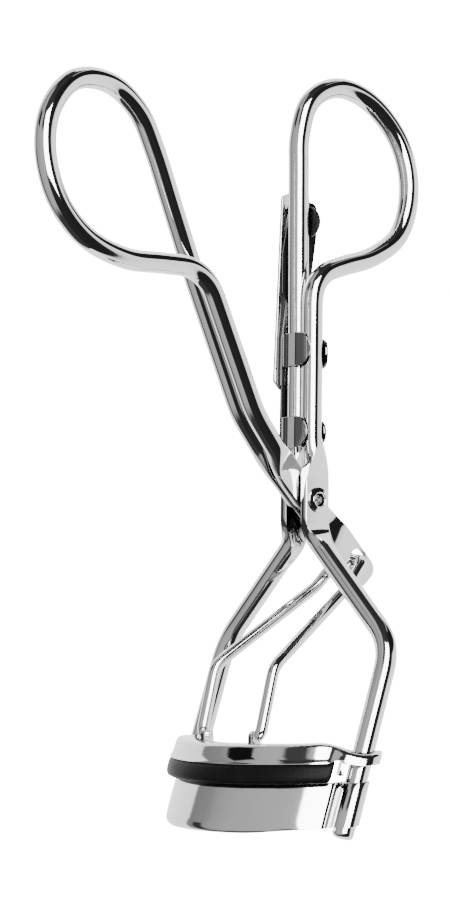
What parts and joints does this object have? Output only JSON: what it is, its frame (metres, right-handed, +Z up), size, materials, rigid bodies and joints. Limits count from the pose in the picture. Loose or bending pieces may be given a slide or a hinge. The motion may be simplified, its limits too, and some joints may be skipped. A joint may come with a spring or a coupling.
{
  "type": "eyelash curler",
  "caption": "Hand-held eyelash curler with two looped wire handles, a sliding curved upper jaw with a rubber pad, a fixed lower jaw and a fold-out side blade.",
  "frame": {"origin": "centre of the bottom of the bounding box, below the jaws' sleeves", "axes": "+X runs along the pivot rivet towards one upright, +Y runs from the jaws' bulge towards the open back of the jaws, +Z runs up the fixed handle"},
  "size_m": [0.0384, 0.0648, 0.1029],
  "materials": {
    "fixed_handle_chrome": "polished",
    "moving_handle_chrome": "polished",
    "rivet_steel": "polished",
    "link_chrome": "polished",
    "upper_jaw_chrome": "polished",
    "pad_rubber": "satin",
    "lower_jaw_chrome": "polished",
    "holder_steel": "polished",
    "blade_steel": "polished",
    "blade_rivet_steel": "polished"
  },
  "bodies": {
    "frame": {"fixed_handle_frame": "fixed_handle_chrome", "lower_jaw": "lower_jaw_chrome", "pivot_rivet": "rivet_steel", "accessory_holder": "holder_steel", "accessory_rivet": "blade_rivet_steel"},
    "lever": {"moving_handle": "moving_handle_chrome"},
    "upper_jaw": {"upper_jaw": "upper_jaw_chrome", "rubber_pad": "pad_rubber"},
    "link": {"link_wire": "link_chrome"},
    "blade": {"accessory_blade": "blade_steel"}
  },
  "joints": [
    {"name": "handle_hinge", "type": "hinge", "parent": "frame", "child": "lever", "pos_m": [0, 0.01298, 0.04396], "axis": [1, 0, 0], "range_deg": [0, 26]},
    {"name": "jaw_slide", "type": "slide", "parent": "frame", "child": "upper_jaw", "axis": [0, 0.3157, 0.9489], "range_m": [0, 0.0058]},
    {"name": "link_swing", "type": "hinge", "parent": "upper_jaw", "child": "link", "pos_m": [0, 0.00053, 0.01266], "axis": [1, 0, 0], "range_deg": [-4, 0]},
    {"name": "blade_fold", "type": "hinge", "parent": "frame", "child": "blade", "pos_m": [-0.00405, 0.01438, 0.08026], "axis": [-1, 0, 0], "range_deg": [0, 170]}
  ],
  "couplings": [
    {"joint": "jaw_slide", "follows": "handle_hinge", "m_per_rad": 0.0121},
    {"joint": "link_swing", "follows": "handle_hinge", "ratio": -0.083}
  ]
}
